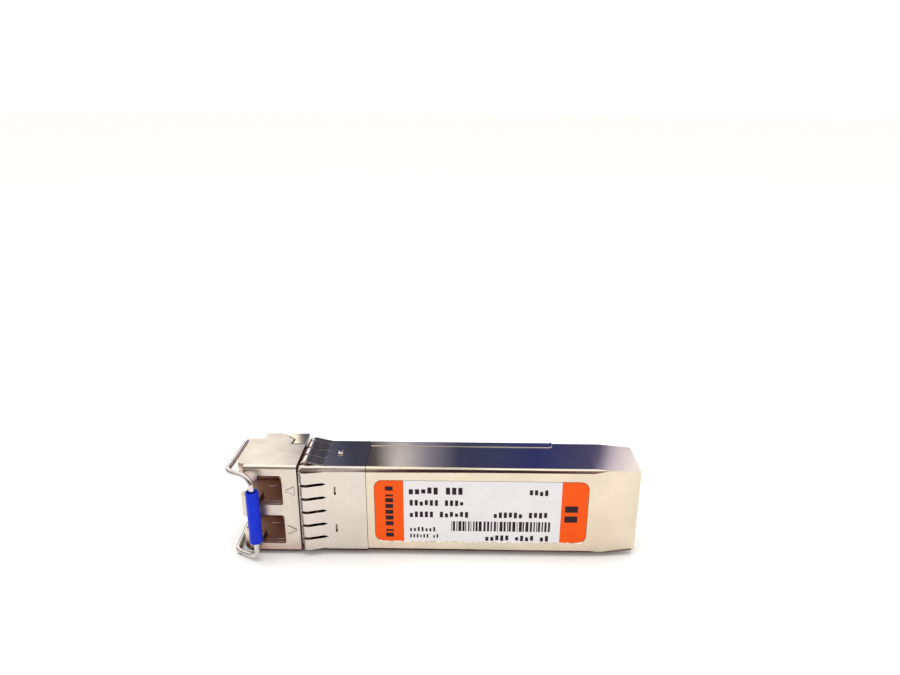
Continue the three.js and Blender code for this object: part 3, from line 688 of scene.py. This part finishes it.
def add_collar_corners():
    """The collar's four corners run on to the nose between the fingers."""
    bm = bmesh.new()
    radius, sheet, height, half = 0.7, 0.2, 8.6, 6.75
    for side in (-1, 1):
        for y in (radius, height - radius):
            turn = 1 if y < height / 2 else -1
            outer = arc((y, half - radius), radius, 0, 90, 8)
            inner = arc((y, half - radius), radius - sheet, 90, 0, 8)
            section = [(y - turn * (a - y), b) for a, b in outer + inner]
            rings = []
            for x, sink in ((-5.85, 0.0), (-8.7, 0.0), (-9.0, 0.05), (-9.25, 0.16)):
                rings.append([Vector((x, a + turn * sink * 0.5, side * (b - sink))) for a, b in section])
            loft(bm, rings)
    make(bm, "collar_corner_strips", SPRING)


add_collar_corners()


def add_slot_edges():
    """Bright sheared edges inside the slots between the fingers on the narrow sides."""
    bm = bmesh.new()
    bow = ((-5.5, -0.02), (-6.3, 0.08), (-7.0, 0.21), (-8.0, 0.44), (-8.5, 0.46))
    slots, sheet_face, radius = (0.88, 2.95, 5.05, 7.08), 6.62, 0.12
    for side in (-1, 1):
        for y in slots:
            tube(bm, [Vector((x, y, side * (sheet_face + rise))) for x, rise in bow], radius, 10, 0.04)
    make(bm, "finger_slot_edges", WIRE)


add_slot_edges()


def add_neck_band():
    """Band of the neck that shows between the nose and the tips of the fingers."""
    bm = bmesh.new()
    front, rear, half = -9.46, -9.0, 6.1
    block(bm, (front, 0.36, -half), (rear, 0.8, half), 0.04, 2)
    make(bm, "neck_band", SPRING)


add_neck_band()


def add_pin():
    bm = bmesh.new()
    x, y = LEVER_PIVOT
    profile = [(-4.3, 0.0), (-4.3, 0.3), (-4.2, 0.4), (4.2, 0.4), (4.3, 0.3), (4.3, 0.0)]
    turned_z(bm, profile, (x, y), 32)
    make(bm, "latch_pivot_pin_turned", WIRE, stands_for=("latch_pivot_pin",))


add_pin()


def add_leaf_spring():
    piece = dressed("latch_spring", "latch_leaf_spring", SPRING, 0.02, body=None)
    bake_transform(piece)


add_leaf_spring()


def add_cover_beads():
    """The cover's side walls end in a narrow rolled lip, from the seam to the step and up it."""
    bm = bmesh.new()
    radius, depth = 0.11, 6.66
    for side in (-1, 1):
        z = side * 6.67
        corners = [(0.08, depth + 0.2), (0.12, depth), (26.36, depth), (26.36, 8.3)]
        tube(bm, bent_path([Vector((x, y, z)) for x, y in corners], 0.6), radius, 12, 0.06)
    make(bm, "cover_wall_lips", COVER)


add_cover_beads()


def add_port_ledges():
    """Small ridges inside each port that guide a plug, along the floor corner and behind the sill."""
    bm = bmesh.new()
    front, rear = -14.9, -11.7
    for z in (PORT_PITCH / 2, -PORT_PITCH / 2):
        floor = z - 2.3
        for y, lift, radius in ((5.0, 0.0, 0.16), (1.0, 0.0, 0.1), (0.45, -0.02, 0.08)):
            path = [Vector((front, y, floor + lift)), Vector((rear, y, floor + lift))]
            tube(bm, path, radius, 12, 0.05)
    make(bm, "port_ledges", SPRING)


add_port_ledges()

# ---- Label ----


def add_label():
    bm = bmesh.new()
    rings = []
    for y, inset in ((LABEL_FACE + 0.1, 0.0), (LABEL_FACE + 0.012, 0.0), (LABEL_FACE, 0.014)):
        low = (LABEL_START + inset, -LABEL_HALF + inset)
        high = (LABEL_END - inset, LABEL_HALF - inset)
        outline = rounded_outline(low, high, 1.2 - inset, 12)
        rings.append([Vector((a, y, b)) for a, b in outline])
    loft(bm, rings)
    make(bm, "label_film", FILM, stands_for=("label",))


def add_adhesive():
    """Glue that shows as a broken line past the film's lower edge."""
    random.seed(11)
    bm = bmesh.new()
    lower = []
    x = LABEL_START + 0.6
    while x < LABEL_END - 0.5:
        lower.append((x, -LABEL_HALF - random.choice((0.0, 0.02, 0.05, 0.09, 0.13))))
        x += random.uniform(0.12, 0.42)
    outline = lower + [(LABEL_END - 0.5, -LABEL_HALF + 0.4), (LABEL_START + 0.5, -LABEL_HALF + 0.4)]
    slab_y(bm, outline, COVER_TOP - 0.012, COVER_TOP + 0.03)
    make(bm, "label_adhesive", GLUE)


def add_ink():
    """Plain blocks and bars in place of any lettering."""
    random.seed(5)
    bm = bmesh.new()
    face = LABEL_FACE - 0.008

    def dab(x0, x1, z0, z1):
        block(bm, (x0, face, z0), (x1, LABEL_FACE + 0.01, z1))

    def line(x0, x1, z0, z1, weight=0.62, gaps=(4, 7)):
        """One printed line: short blocks with a wider space after every few."""
        height = z1 - z0
        step = height * 0.78
        until = random.randint(*gaps)
        x = x0
        while x + step * weight <= x1:
            if until:
                low = z0 + height * random.choice((0.0, 0.0, 0.12))
                high = z1 - height * random.choice((0.0, 0.0, 0.28))
                dab(x, x + step * weight, low, high)
                until -= 1
            else:
                until = random.randint(*gaps)
            x += step

    line(5.95, 13.6, 2.75, 3.85, 0.68, (3, 5))
    line(22.7, 25.9, 2.7, 3.6)
    line(6.05, 14.2, 0.95, 1.85)
    line(6.05, 15.2, -0.9, 0.0)
    line(17.8, 25.8, -0.9, 0.0)
    line(6.05, 10.4, -3.2, -2.5, 0.5)
    line(6.05, 10.4, -4.25, -3.65, 0.5)
    line(16.7, 25.8, -4.65, -3.75)
    x = 11.9
    while x < 25.6:
        width = random.choice((0.1, 0.14, 0.2, 0.3, 0.42))
        dab(x, min(x + width, 25.75), -3.1, -1.5)
        x += width + random.choice((0.1, 0.14, 0.2, 0.26))
    for i in range(9):
        low = -4.15 + i * 0.93
        dab(2.65, 3.75, low, low + (0.3 if i in (1, 7) else 0.66))
    dab(27.7, 29.5, 0.1, 1.1)
    dab(27.7, 29.5, -1.5, -0.5)
    make(bm, "label_ink", INKED)


add_label()
add_adhesive()
add_ink()

# ---- Bail ----


def bail_half(side, corner, bend):
    px, py = BAIL_PIVOT
    cx, cy = CROSSBAR
    arm = 6.05
    points = [
        (px, py, 4.3),
        (px, py, arm),
        (-18.75, py, arm),
        (bend, 0.3, corner),
        (-16.3, -1.05, corner - 0.05),
        (cx - 0.05, cy, corner - 0.65),
        (cx, cy, 4.4),
    ]
    return [Vector((x, y, z * side)) for x, y, z in points]


def add_bail():
    bm = bmesh.new()
    path = bent_path(bail_half(1, 6.0, -19.14) + bail_half(-1, 6.85, -18.85)[::-1], 0.8)
    tube(bm, path, WIRE_RADIUS)
    for side in (-1, 1):
        inner, outer = side * 3.3, side * 4.52
        edge = side * 0.08
        profile = [(inner, 0.0), (inner, 0.32), (inner + edge, 0.4)]
        profile += [(outer - edge, 0.4), (outer, 0.32), (outer, 0.0)]
        turned_z(bm, profile, (BAIL_PIVOT[0], BAIL_PIVOT[1] - 0.22), 24)
    make(bm, "bail_wire_bent", WIRE, body="bail", stands_for=("bail_wire",))


def add_sleeve():
    bm = bmesh.new()
    half, radius, lip = SLEEVE_HALF, SLEEVE_RADIUS, 0.16
    bore = WIRE_RADIUS + 0.015
    quarter = arc((half - lip, radius - lip), lip, 90, 0, 6)
    mouth = [(half - 0.04, bore + 0.24), (half - 0.16, bore + 0.12)]
    mouth += [(half - 0.34, bore + 0.03), (half - 0.5, bore)]
    right = quarter + mouth
    left = [(-z, r) for z, r in reversed(right)]
    turned_z(bm, left + right, CROSSBAR, 64)
    for turn in (0.0, math.pi):
        x = CROSSBAR[0] + radius * math.cos(turn)
        low = (x - 0.012, CROSSBAR[1] - 0.03, -half + 0.3)
        high = (x + 0.012, CROSSBAR[1] + 0.03, half - 0.3)
        block(bm, low, high, 0.01, 1)
    make(bm, "bail_grip_sleeve", SLEEVE, body="bail", stands_for=("bail_sleeve",), crease=50)


add_bail()
add_sleeve()

# ---- Optics ----

PORTS = (("tx", PORT_PITCH / 2), ("rx", -PORT_PITCH / 2))


def add_optics(side, z):
    centre = (PORT_AXIS, z)
    bm = bmesh.new()
    profile = [(-8.0, 0), (-8.0, 0.6), (-7.5, 0.6), (-7.5, 0.9), (-12.4, 0.9), (-12.4, 0.72), (-12.76, 0.7)]
    profile += [(-12.8, 0.76), (-12.8, 1.2), (-12.74, 1.28), (-12.6, 1.42), (-12.5, 1.45), (-7.95, 1.45)]
    profile += [(-7.9, 1.55), (-7.9, 1.92), (-7.82, 2.0), (-7.38, 2.0), (-7.3, 1.92), (-7.3, 1.5)]
    profile += [(-6.7, 1.5), (-6.7, 1.92), (-6.62, 2.0), (-3.78, 2.0), (-3.7, 1.92), (-3.7, 0)]
    turned(bm, profile, centre)
    make(bm, f"{side}_receptacle_turned", SPRING, stands_for=(f"{side}_receptacle",))

    bm = bmesh.new()
    slit, steps = math.degrees(0.16), 56
    outer = arc((0, 0), 0.84, slit, 360 - slit, steps)
    inner = arc((0, 0), 0.64, 360 - slit, slit, steps)
    ends = ((-12.3, 0.03), (-12.27, 0.0), (-7.63, 0.0), (-7.6, 0.03))
    rings = []
    for x, inset in ends:
        ring = [(b * (1 - inset / 0.84), a * (1 - inset / 0.84)) for a, b in outer]
        ring += [(b * (1 + inset / 0.64), a * (1 + inset / 0.64)) for a, b in inner]
        rings.append([Vector((x, PORT_AXIS + b, z - a)) for a, b in ring])
    loft(bm, rings)
    make(bm, f"{side}_split_sleeve_ground", CERAMIC, stands_for=(f"{side}_split_sleeve",))

    bm = bmesh.new()
    profile = [(-3.6, 0), (-3.6, 1.78), (-3.48, 1.9), (-1.62, 1.9), (-1.6, 2.12), (-1.42, 2.15), (-1.4, 2.34)]
    profile += [(-1.32, 2.4), (-0.28, 2.4), (-0.2, 2.32), (-0.2, 0)]
    turned(bm, profile, centre, 64)
    for i in range(4):
        turn = math.pi / 4 + i * math.pi / 2
        pin = (PORT_AXIS + 0.9 * math.cos(turn), z + 0.9 * math.sin(turn))
        turned(bm, [(-0.25, 0), (-0.25, 0.22), (0.55, 0.22), (0.6, 0.17), (0.6, 0)], pin, 16)
        turned(bm, [(-0.22, 0), (-0.22, 0.42), (-0.17, 0.4), (-0.14, 0.22), (-0.14, 0)], pin, 16, slot=1)
    make(bm, f"{side}_header_can", [GOLD, EPOXY], stands_for=(f"{side}_can",))
    dressed(f"{side}_flex", f"{side}_flex_circuit", POLYIMIDE, 0.02)


for side_name, side_z in PORTS:
    add_optics(side_name, side_z)


def add_stub():
    bm = bmesh.new()
    profile = [(-8.9, 0), (-8.9, 0.42), (-8.86, 0.5), (-8.7, 0.61), (-8.6, 0.62), (-8.05, 0.62), (-8.05, 0)]
    turned(bm, profile, (PORT_AXIS, PORTS[0][1]), 40)
    make(bm, "tx_fibre_stub_ground", CERAMIC, stands_for=("tx_fibre_stub",))


add_stub()

# ---- Board ----


def add_board():
    outline = [(2.6, -5.45), (27.0, -5.45), (27.8, -4.6), (BOARD_END, -4.6)]
    outline += [(a, -b) for a, b in reversed(outline)]
    bm = bmesh.new()
    chamfer = 0.28
    rings = []
    levels = ((BOARD_NEAR, chamfer), (BOARD_NEAR + 0.22, 0), (BOARD_FAR - 0.22, 0), (BOARD_FAR, chamfer))
    for y, inset in levels:
        ring = [(a - (inset if a > 30 else 0), b) for a, b in outline]
        rings.append([Vector((a, y, b)) for a, b in ring])
    loft(bm, rings)
    make(bm, "circuit_board_laminate", MASK, stands_for=("circuit_board",), crease=20)

    bm = bmesh.new()
    for y0, y1 in ((BOARD_NEAR - 0.035, BOARD_NEAR + 0.02), (BOARD_FAR - 0.02, BOARD_FAR + 0.035)):
        for i in range(10):
            z = (i - 4.5) * 0.8
            long = 0.55 if i in (0, 3, 6, 9) else 0.0
            block(bm, (30.2 - long, y0, z - 0.27), (34.3, y1, z + 0.27), 0.012, 1)
            block(bm, (27.3, y0 + 0.01, z - 0.07), (30.3, y1 - 0.01, z + 0.07), 0.0)
    for x, z in ((4.0, 5.0), (4.0, -5.0), (13.2, 4.6), (20.4, -4.7), (20.4, 4.7), (25.4, 0.0), (25.4, 4.4)):
        for y in (BOARD_NEAR, BOARD_FAR):
            ring = [(y - 0.02, 0.12), (y - 0.02, 0.24), (y + 0.02, 0.24), (y + 0.02, 0.12)]
            turned_y(bm, ring, (x, z))
    make(bm, "edge_contacts", GOLD)


add_board()


def chip(node, name, pads_per_side):
    """A leadless package: moulded body, orientation dimple, soldered pads round its foot."""
    low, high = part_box(node)
    low, high = (low - ORIGIN) / MM, (high - ORIGIN) / MM
    near = high.y < BOARD_FAR
    foot, top = (high.y, low.y) if near else (low.y, high.y)
    bm = bmesh.new()
    block(bm, low, high, 0.07, 2)
    out = 1 if top > foot else -1
    sunk, proud = top - out * 0.01, top + out * 0.004
    dimple = [(sunk, 0.0), (sunk, 0.16), (proud, 0.2), (proud, 0.0)]
    turned_y(bm, dimple, (low.x + 0.55, high.z - 0.55), 20)
    y0, y1 = sorted((foot - out * 0.045, foot + out * 0.18))
    for i in range(pads_per_side):
        t = (i + 0.5) / pads_per_side
        x = low.x + 0.3 + (high.x - low.x - 0.6) * t
        z = low.z + 0.3 + (high.z - low.z - 0.6) * t
        for face in (low.z, high.z):
            block(bm, (x - 0.11, y0, face - 0.12), (x + 0.11, y1, face + 0.12), 0.03, 1, slot=1)
        for face in (low.x, high.x):
            block(bm, (face - 0.12, y0, z - 0.11), (face + 0.12, y1, z + 0.11), 0.03, 1, slot=1)
    make(bm, name, [EPOXY, SOLDER], stands_for=(node,))


chip("laser_driver_chip", "laser_driver_package", 6)
chip("limiting_amplifier_chip", "limiting_amplifier_package", 5)
chip("microcontroller_chip", "microcontroller_package", 8)
chip("memory_chip", "memory_package", 4)


def capped(node, name, material, cap=0.42):
    """A two-ended part: moulded or sintered body between soldered metal ends."""
    low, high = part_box(node)
    low, high = (low - ORIGIN) / MM, (high - ORIGIN) / MM
    bm = bmesh.new()
    skin = 0.04
    block(bm, (low.x + cap * 0.6, low.y, low.z), (high.x - cap * 0.6, high.y, high.z), 0.14, 3)
    for x0, x1 in ((low.x, low.x + cap), (high.x - cap, high.x)):
        block(bm, (x0, low.y + 3 * skin, low.z + skin), (x1, high.y + 0.045, high.z - skin), 0.06, 2, slot=1)
    make(bm, name, [material, SOLDER], stands_for=(node,))


capped("transmit_power_inductor", "transmit_inductor_body", FERRITE)
capped("receive_power_inductor", "receive_inductor_body", FERRITE)
capped("bulk_capacitor", "bulk_capacitor_body", TANTALUM, 0.5)


def add_thermal_pad():
    low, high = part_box("board_thermal_pad")
    low, high = (low - ORIGIN) / MM, (high - ORIGIN) / MM
    bm = bmesh.new()
    block(bm, low, high, 0.22, 4)
    make(bm, "thermal_pad_soft", PAD, stands_for=("board_thermal_pad",), crease=60)


add_thermal_pad()


def add_passives():
    """Rows of small soldered capacitors and resistors on the near side of the board."""
    random.seed(3)
    bm = bmesh.new()
    spots = [(6.2, -0.6 + 0.9 * i) for i in range(-1, 3)]
    spots += [(13.0, z) for z in (-1.8, -0.9, 0.0, 0.9, 1.8, 2.7)]
    spots += [(20.3, z) for z in (-3.4, -1.2, 0.0, 1.2, 3.4)]
    spots += [(25.2, z) for z in (-3.8, -2.8, -1.4, 1.4, 2.8, 3.8)]
    spots += [(16.0 + 1.4 * i, z) for i in range(3) for z in (-4.0, 4.0)]
    for x, z in spots:
        tall = random.uniform(0.3, 0.5)
        slot = random.choice((0, 1))
        y0, y1 = BOARD_NEAR - tall, BOARD_NEAR + 0.01
        block(bm, (x - 0.3, y0, z - 0.24), (x + 0.3, y1, z + 0.24), 0.03, 1, slot=slot)
        for end in (-1, 1):
            x0, x1 = sorted((x + end * 0.28, x + end * 0.52))
            block(bm, (x0, y0 - 0.01, z - 0.25), (x1, y1, z + 0.25), 0.05, 2, slot=2)
    make(bm, "board_passives", [TANTALUM, EPOXY, SOLDER])


add_passives()

# ---- Floor, light and camera ----


def plain(name, colour, glow=0.0):
    material = bpy.data.materials.new(name)
    material.use_nodes = True
    surface = material.node_tree.nodes["Principled BSDF"]
    surface.inputs["Base Color"].default_value = (*colour, 1)
    surface.inputs["Roughness"].default_value = 0.9
    surface.inputs["Specular IOR Level"].default_value = 0.0
    surface.inputs["Emission Color"].default_value = (*colour, 1)
    surface.inputs["Emission Strength"].default_value = glow
    return material


def panel(name, corners, material):
    """A flat sheet of the studio through four corners, in millimetres of the frame."""
    mesh = bpy.data.meshes.new(name)
    mesh.from_pydata([Vector(c) * MM for c in corners], [], [(0, 1, 2, 3)])
    mesh.materials.append(material)
    made = bpy.data.objects.new(name, mesh)
    bpy.context.scene.collection.objects.link(made)
    return made


def card_material(name, stops, shade=None):
    """A glowing card whose colour runs along x through (place in mm, colour) stops.

    shade is (low, high, weakest, strongest): how the glow changes with height."""
    material = bpy.data.materials.new(name)
    material.use_nodes = True
    tree = material.node_tree
    tree.nodes.clear()
    out = tree.nodes.new("ShaderNodeOutputMaterial")
    glow = tree.nodes.new("ShaderNodeEmission")
    place = tree.nodes.new("ShaderNodeTexCoord")
    split = tree.nodes.new("ShaderNodeSeparateXYZ")
    span = tree.nodes.new("ShaderNodeMapRange")
    ramp = tree.nodes.new("ShaderNodeValToRGB")
    low, high = stops[0][0], stops[-1][0]
    span.inputs["From Min"].default_value = low * MM
    span.inputs["From Max"].default_value = high * MM
    tree.links.new(place.outputs["Object"], split.inputs[0])
    tree.links.new(split.outputs["X"], span.inputs["Value"])
    tree.links.new(span.outputs[0], ramp.inputs[0])
    elements = ramp.color_ramp.elements
    while len(elements) < len(stops):
        elements.new(0.5)
    for element, (x, colour) in zip(elements, stops):
        element.position = (x - low) / (high - low)
        element.color = (*colour, 1)
    if shade:
        rise = tree.nodes.new("ShaderNodeMapRange")
        for socket, value in zip(("From Min", "From Max", "To Min", "To Max"), shade):
            rise.inputs[socket].default_value = value
        tree.links.new(split.outputs["Z"], rise.inputs["Value"])
        tree.links.new(rise.outputs[0], glow.inputs["Strength"])
    tree.links.new(ramp.outputs[0], glow.inputs["Color"])
    tree.links.new(glow.outputs[0], out.inputs["Surface"])
    return material


def card(name, corners, stops, shade=None):
    """A glowing sheet that only polished surfaces see."""
    made = panel(name, corners, card_material(name + "_face", stops, shade))
    made.visible_camera = False
    made.visible_diffuse = False
    made.visible_shadow = False
    made.visible_transmission = False
    made.visible_volume_scatter = False


def upright(y, x0, x1, z0, z1):
    return [(x0, y, z0), (x1, y, z0), (x1, y, z1), (x0, y, z1)]


def lying(z, x0, x1, y0, y1):
    return [(x0, y0, z), (x1, y0, z), (x1, y1, z), (x0, y1, z)]


def add_studio():
    far = 4000
    panel("floor", lying(0, -far, far, -far, far), plain("pale_floor", (0.9, 0.9, 0.9)))
    behind = [
        (-29, (0.11, 0.12, 0.19)),
        (-23, (0.11, 0.12, 0.19)),
        (-19, (0.055, 0.06, 0.1)),
        (-16, (0.055, 0.06, 0.1)),
        (-13.5, (0.075, 0.07, 0.08)),
        (-9, (0.66, 0.65, 0.76)),
        (-2.6, (0.24, 0.25, 0.37)),
        (3.5, (0.047, 0.052, 0.13)),
        (12, (0.048, 0.06, 0.17)),
        (20, (0.033, 0.042, 0.2)),
        (28, (0.062, 0.068, 0.2)),
        (35, (0.09, 0.09, 0.22)),
        (38, (0.74, 0.7, 0.95)),
        (45, (1.15, 1.15, 1.25)),
        (56, (1.15, 1.15, 1.25)),
    ]
    card("back_card", upright(40, -29, 56, 2, 66), behind, (0.024, 0.034, 0.8, 1.3))
    pale = [(-80, (1.6, 1.56, 1.5)), (-29, (1.6, 1.56, 1.5))]
    card("back_left_card", upright(40, -80, -29, 24, 100), pale)
    dim = [(-80, (0.2, 0.19, 0.2)), (-29, (0.12, 0.12, 0.15))]
    card("low_left_card", upright(40, -80, -29, 1, 24), dim)
    ahead = [
        (-400, (0.3, 0.24, 0.2)),
        (-85, (0.3, 0.24, 0.2)),
        (-76, (0.85, 0.8, 0.76)),
        (-52, (0.85, 0.8, 0.76)),
        (-46, (0.09, 0.03, 0.04)),
        (-10, (0.05, 0.03, 0.04)),
        (70, (0.05, 0.03, 0.04)),
        (84, (0.4, 0.25, 0.28)),
        (400, (0.4, 0.25, 0.28)),
    ]
    card("front_card", upright(-260, -400, 400, 8, 700), ahead)
    above = [
        (-150, (1.5, 1.5, 1.5)),
        (-14, (1.5, 1.5, 1.5)),
        (-8, (1.05, 1.05, 1.05)),
        (9, (0.8, 0.82, 0.85)),
        (15, (1.3, 1.3, 1.35)),
        (20, (1.7, 1.7, 1.7)),
        (150, (1.5, 1.5, 1.5)),
    ]
    card("top_card", lying(300, -150, 150, -110, 215), above)
    # Painted shade: a dark card just above the floor under the module's label-side edge, which the rounded
    # lower corners reflect as their contact shadow.
    under = [(-30, (0.09, 0.035, 0.04)), (40, (0.09, 0.035, 0.04))]
    label_plane = ORIGIN.y / MM
    contact_rear, contact_front = label_plane + 2.0, label_plane - 0.6
    low_front = [(-400, (0.1, 0.05, 0.06)), (400, (0.1, 0.05, 0.06))]
    card("low_front_card", lying(0.2, -400, 400, -258, -64), low_front)
    card("contact_shadow_card", lying(0.12, -28, 29, contact_front, contact_rear), under)
    for side in (-1, 1):
        name = "left_card" if side < 0 else "right_card"
        x = side * 220
        grey = [(x - 1, (0.3, 0.29, 0.29)), (x + 1, (0.3, 0.29, 0.29))]
        card(name, [(x, -110, 20), (x, 110, 20), (x, 110, 120), (x, -110, 120)], grey)

    world = bpy.data.worlds.new("studio")
    world.use_nodes = True
    background = world.node_tree.nodes["Background"]
    background.inputs["Color"].default_value = (1.0, 0.985, 0.965, 1)
    background.inputs["Strength"].default_value = 1.12
    bpy.context.scene.world = world

    lamp = bpy.data.lights.new("overhead_softbox", "AREA")
    lamp.shape = "RECTANGLE"
    lamp.size, lamp.size_y = 0.32, 0.22
    lamp.energy = 0.55
    lamp.color = (1.0, 0.985, 0.95)
    softbox = bpy.data.objects.new("overhead_softbox", lamp)
    softbox.location = (0.0, -0.03, 0.34)
    softbox.visible_glossy = False
    bpy.context.scene.collection.objects.link(softbox)


def add_camera():
    camera = bpy.data.cameras.new("camera")
    camera.sensor_width = 36.0
    camera.lens = 27.822
    camera.clip_start, camera.clip_end = 0.004, 20.0
    pitch, yaw, roll = 0.327290, -0.0125855, 0.00487657
    forward = Vector((math.sin(yaw) * math.cos(pitch), math.cos(yaw) * math.cos(pitch), -math.sin(pitch)))
    right = Vector((math.cos(yaw), -math.sin(yaw), 0))
    up = right.cross(forward)
    turned_right = right * math.cos(roll) + up * math.sin(roll)
    turned_up = up * math.cos(roll) - right * math.sin(roll)
    basis = Matrix((turned_right, turned_up, -forward)).transposed().to_4x4()
    holder = bpy.data.objects.new("camera", camera)
    holder.matrix_world = Matrix.Translation(at(12.6176, -84.1413, 54.3373)) @ basis
    bpy.context.scene.collection.objects.link(holder)
    bpy.context.scene.camera = holder


add_studio()
add_camera()
bpy.context.scene.view_settings.view_transform = "Standard"
